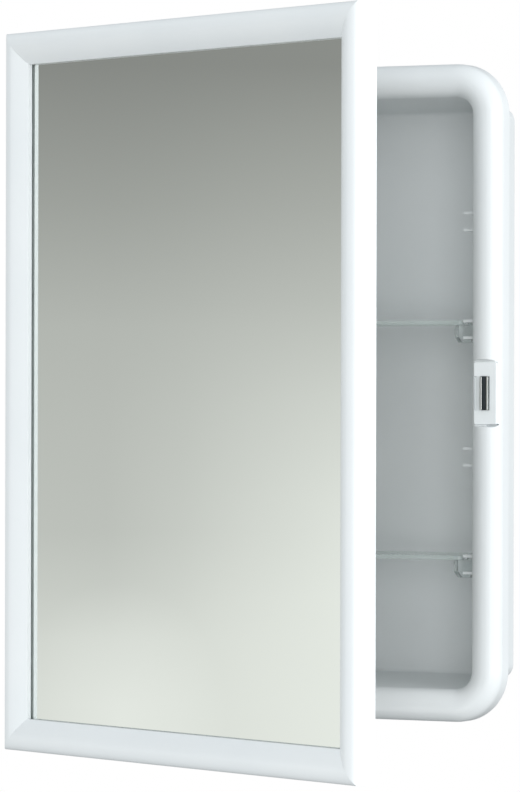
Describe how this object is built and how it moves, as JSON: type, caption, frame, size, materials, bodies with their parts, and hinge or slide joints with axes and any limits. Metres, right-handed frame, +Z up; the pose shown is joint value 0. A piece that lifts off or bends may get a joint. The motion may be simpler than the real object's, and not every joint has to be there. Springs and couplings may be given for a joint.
{
  "type": "medicine cabinet",
  "caption": "Bathroom medicine cabinet: moulded body with a rounded rim, hinged door with a framed mirror, clear shelves on clips between wall ribs, and a magnetic catch.",
  "frame": {"origin": "centre of the rear face of the cabinet's back panel, on the wall", "axes": "+X to the right seen from the front, +Y into the wall, +Z up; the door faces -Y"},
  "size_m": [0.3824, 0.2673, 0.508],
  "materials": {
    "shell_plastic": "smooth white moulded plastic, semi-gloss",
    "catch_plastic": "smooth white moulded plastic",
    "ferrite": "dark pressed ferrite, modelled as matte plastic",
    "bright_steel": "bright plated steel",
    "zinc_steel": "zinc-plated steel",
    "clear_plastic": "clear moulded plastic",
    "shelf_plastic": "clear shelf sheet with a faint green edge",
    "white_lacquer": "wood moulding under white lacquer, satin",
    "mirror": "silvered float glass",
    "hardboard": "fibreboard, painted off-white",
    "wire_steel": "galvanised wire and strip",
    "bumper_rubber": "soft translucent rubber"
  },
  "bodies": {
    "cabinet": {"cabinet_shell": "shell_plastic", "catch_housing": "catch_plastic", "catch_magnet": "ferrite", "catch_pole_left": "bright_steel", "catch_pole_right": "bright_steel", "upper_hinge_cabinet_leaf": "zinc_steel", "lower_hinge_cabinet_leaf": "zinc_steel", "upper_hinge_pin": "zinc_steel", "lower_hinge_pin": "zinc_steel", "upper_hinge_cabinet_screws": "zinc_steel", "lower_hinge_cabinet_screws": "zinc_steel", "upper_clip_front_left": "clear_plastic", "upper_clip_front_right": "clear_plastic", "upper_clip_rear_left": "clear_plastic", "upper_clip_rear_right": "clear_plastic", "lower_clip_front_left": "clear_plastic", "lower_clip_front_right": "clear_plastic", "lower_clip_rear_left": "clear_plastic", "lower_clip_rear_right": "clear_plastic"},
    "door": {"door_frame_top": "white_lacquer", "door_frame_bottom": "white_lacquer", "door_frame_hinge_side": "white_lacquer", "door_frame_latch_side": "white_lacquer", "mirror_glass": "mirror", "backer_board": "hardboard", "mitre_nails": "wire_steel", "back_staples": "wire_steel", "strike_plate": "bright_steel", "strike_screws": "bright_steel", "upper_hinge_door_leaf": "zinc_steel", "lower_hinge_door_leaf": "zinc_steel", "upper_hinge_door_screws": "zinc_steel", "lower_hinge_door_screws": "zinc_steel", "upper_door_bumper": "bumper_rubber", "lower_door_bumper": "bumper_rubber"},
    "upper_shelf_body": {"upper_shelf": "shelf_plastic"},
    "lower_shelf_body": {"lower_shelf": "shelf_plastic"}
  },
  "joints": [
    {"name": "door_hinge", "type": "hinge", "parent": "cabinet", "child": "door", "pos_m": [-0.1885, -0.0845, 0], "axis": [0, 0, -1], "range_deg": [-25, 90]},
    {"name": "upper_shelf_lift", "type": "slide", "parent": "cabinet", "child": "upper_shelf_body", "axis": [0, 0, 1], "range_m": [0, 0.05]},
    {"name": "lower_shelf_lift", "type": "slide", "parent": "cabinet", "child": "lower_shelf_body", "axis": [0, 0, 1], "range_m": [0, 0.05]}
  ]
}
